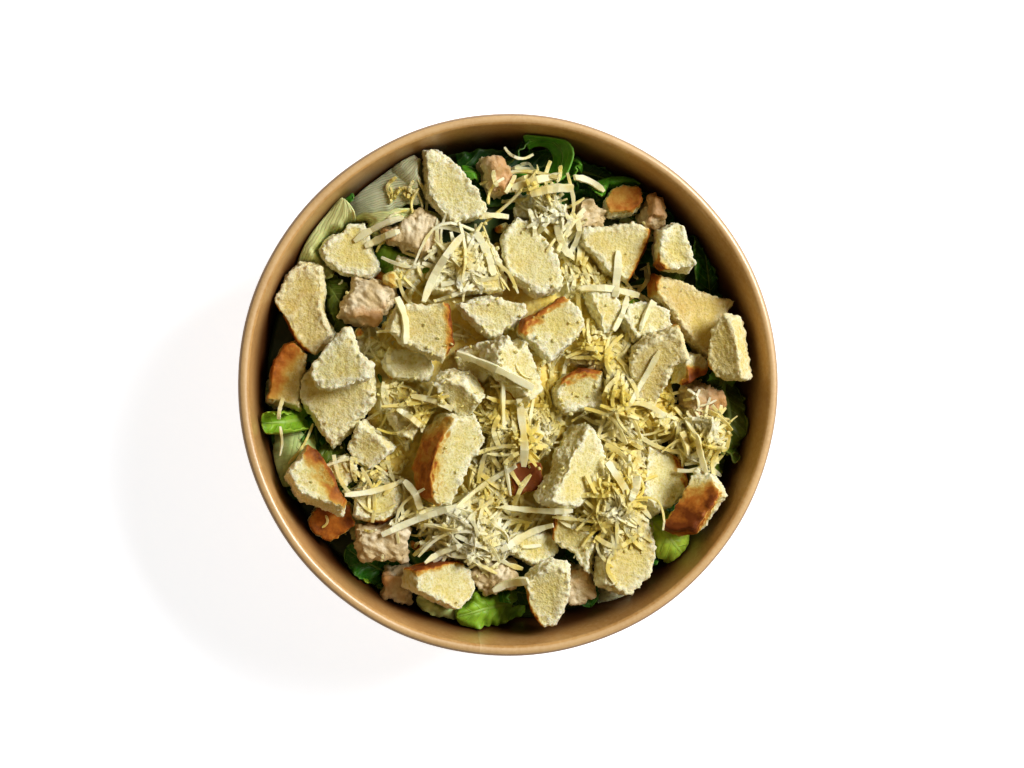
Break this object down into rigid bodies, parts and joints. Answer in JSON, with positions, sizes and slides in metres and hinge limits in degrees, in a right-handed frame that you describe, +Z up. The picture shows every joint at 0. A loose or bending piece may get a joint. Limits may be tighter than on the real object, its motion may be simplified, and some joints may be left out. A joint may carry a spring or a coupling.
{
  "type": "chicken caesar salad in a paper bowl",
  "caption": "Chicken caesar salad in a round brown paper takeaway bowl: lettuce topped with torn croutons, chopped chicken and shreds of hard cheese.",
  "frame": {"origin": "on the surface it stands on, under the middle of the bowl", "axes": "+Z up out of the bowl; +X and +Y across the rim, towards the right and the far side of the view from above"},
  "size_m": [0.15, 0.15, 0.0643],
  "materials": {
    "bowl_paper": "satin",
    "lettuce_leaf": "satin",
    "chicken_meat": "matte",
    "crouton_bread": "matte",
    "cheese_shred": "satin"
  },
  "bodies": {
    "root": {"bowl": "bowl_paper", "lettuce": "lettuce_leaf", "chicken_01": "chicken_meat", "chicken_02": "chicken_meat", "chicken_03": "chicken_meat", "chicken_04": "chicken_meat", "chicken_05": "chicken_meat", "chicken_06": "chicken_meat", "chicken_07": "chicken_meat", "chicken_08": "chicken_meat", "chicken_09": "chicken_meat", "chicken_10": "chicken_meat", "chicken_11": "chicken_meat", "crouton_01": "crouton_bread", "crouton_02": "crouton_bread", "crouton_03": "crouton_bread", "crouton_04": "crouton_bread", "crouton_05": "crouton_bread", "crouton_06": "crouton_bread", "crouton_07": "crouton_bread", "crouton_08": "crouton_bread", "crouton_09": "crouton_bread", "crouton_10": "crouton_bread", "crouton_11": "crouton_bread", "crouton_12": "crouton_bread", "crouton_13": "crouton_bread", "crouton_14": "crouton_bread", "crouton_15": "crouton_bread", "crouton_16": "crouton_bread", "crouton_17": "crouton_bread", "crouton_18": "crouton_bread", "crouton_19": "crouton_bread", "crouton_20": "crouton_bread", "crouton_21": "crouton_bread", "crouton_22": "crouton_bread", "crouton_23": "crouton_bread", "crouton_24": "crouton_bread", "crouton_25": "crouton_bread", "crouton_26": "crouton_bread", "crouton_27": "crouton_bread", "crouton_28": "crouton_bread", "crouton_29": "crouton_bread", "crouton_30": "crouton_bread", "crouton_31": "crouton_bread", "crouton_32": "crouton_bread", "crouton_33": "crouton_bread", "crouton_34": "crouton_bread", "crouton_35": "crouton_bread", "crouton_36": "crouton_bread", "crouton_37": "crouton_bread", "crouton_38": "crouton_bread", "crouton_39": "crouton_bread", "crouton_40": "crouton_bread", "cheese_01": "cheese_shred", "cheese_02": "cheese_shred", "cheese_03": "cheese_shred", "cheese_04": "cheese_shred", "cheese_05": "cheese_shred", "cheese_06": "cheese_shred", "cheese_07": "cheese_shred"}
  },
  "joints": []
}
